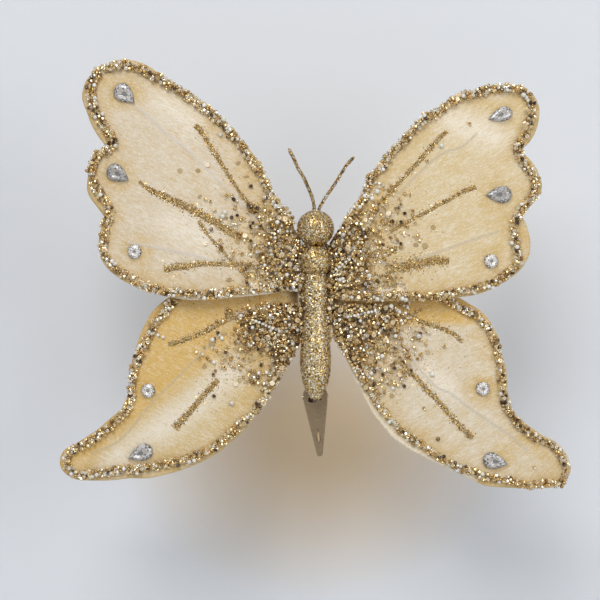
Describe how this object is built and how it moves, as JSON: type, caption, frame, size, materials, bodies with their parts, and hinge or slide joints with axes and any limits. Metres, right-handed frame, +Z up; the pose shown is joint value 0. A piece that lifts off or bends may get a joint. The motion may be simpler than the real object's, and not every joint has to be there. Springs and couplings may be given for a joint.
{
  "type": "clip-on butterfly ornament",
  "caption": "Clip-on butterfly ornament: cambered satin wings on bendable wires with beaded margins and clear stones, a glitter-coated body with antennae, and a sprung clip behind.",
  "frame": {"origin": "middle of the clip's grip, on the bite line between its two jaws", "axes": "+Z up towards the head, -Y out of the butterfly's face, +X towards the right wings as seen from the front"},
  "size_m": [0.2508, 0.0278, 0.2082],
  "materials": {
    "body_glitter": "pale gold glitter packed on foam",
    "antenna_glitter": "champagne glitter on wire",
    "wire": "drawn steel wire, plain",
    "hot_glue": "set hot-melt glue, milky and smooth",
    "satin_cloth": "satin woven cloth, gold at the margins and cream inside",
    "glitter_glue": "clear glue full of gold glitter",
    "gold_beads": "glossy gold and pearl beads",
    "clear_stone": "clear faceted stone with a silvered flat back",
    "clip_steel": "stamped steel, dull plated",
    "spring_steel": "blued strip spring"
  },
  "bodies": {
    "body": {"head": "body_glitter", "thorax": "body_glitter", "abdomen": "body_glitter", "core_wire": "wire", "left_antenna": "antenna_glitter", "right_antenna": "antenna_glitter", "glue_bed": "hot_glue", "clip_glue": "hot_glue", "clip_fixed_jaw": "clip_steel", "clip_pin": "clip_steel", "clip_spring": "spring_steel"},
    "clip_jaw": {"clip_moving_jaw": "clip_steel"},
    "left_forewing": {"left_forewing_front_cloth": "satin_cloth", "left_forewing_back_cloth": "satin_cloth", "left_forewing_wires": "wire", "left_forewing_edge_glue": "glitter_glue", "left_forewing_edge_beads": "gold_beads", "left_forewing_glitter_veins": "glitter_glue", "left_forewing_root_beads": "gold_beads", "left_forewing_pear_stones": "clear_stone", "left_forewing_round_stone": "clear_stone"},
    "right_forewing": {"right_forewing_front_cloth": "satin_cloth", "right_forewing_back_cloth": "satin_cloth", "right_forewing_wires": "wire", "right_forewing_edge_glue": "glitter_glue", "right_forewing_edge_beads": "gold_beads", "right_forewing_glitter_veins": "glitter_glue", "right_forewing_root_beads": "gold_beads", "right_forewing_pear_stones": "clear_stone", "right_forewing_round_stone": "clear_stone"},
    "left_hindwing": {"left_hindwing_front_cloth": "satin_cloth", "left_hindwing_back_cloth": "satin_cloth", "left_hindwing_wires": "wire", "left_hindwing_edge_glue": "glitter_glue", "left_hindwing_edge_beads": "gold_beads", "left_hindwing_glitter_veins": "glitter_glue", "left_hindwing_root_beads": "gold_beads", "left_hindwing_pear_stone": "clear_stone", "left_hindwing_round_stone": "clear_stone"},
    "right_hindwing": {"right_hindwing_front_cloth": "satin_cloth", "right_hindwing_back_cloth": "satin_cloth", "right_hindwing_wires": "wire", "right_hindwing_edge_glue": "glitter_glue", "right_hindwing_edge_beads": "gold_beads", "right_hindwing_glitter_veins": "glitter_glue", "right_hindwing_root_beads": "gold_beads", "right_hindwing_pear_stone": "clear_stone", "right_hindwing_round_stone": "clear_stone"}
  },
  "joints": [
    {"name": "left_forewing_hinge", "type": "hinge", "parent": "body", "child": "left_forewing", "pos_m": [-0.00894, -0.0056, 0.082], "axis": [0, 0, 1], "range_deg": [0, 35]},
    {"name": "right_forewing_hinge", "type": "hinge", "parent": "body", "child": "right_forewing", "pos_m": [0.00606, -0.0056, 0.082], "axis": [0, 0, -1], "range_deg": [0, 35]},
    {"name": "left_hindwing_hinge", "type": "hinge", "parent": "body", "child": "left_hindwing", "pos_m": [-0.00894, -0.0056, 0.0614], "axis": [0, 0, 1], "range_deg": [-40, 0]},
    {"name": "right_hindwing_hinge", "type": "hinge", "parent": "body", "child": "right_hindwing", "pos_m": [0.00606, -0.0056, 0.0614], "axis": [0, 0, -1], "range_deg": [-40, 0]},
    {"name": "clip_open", "type": "hinge", "parent": "body", "child": "clip_jaw", "pos_m": [-0.00144, 0, 0.01834], "axis": [0.9969, 0, 0.0785], "range_deg": [0, 20], "stiffness_Nm_per_rad": 0.05, "springref_deg": -34.38, "deforming": ["clip_spring"]}
  ]
}
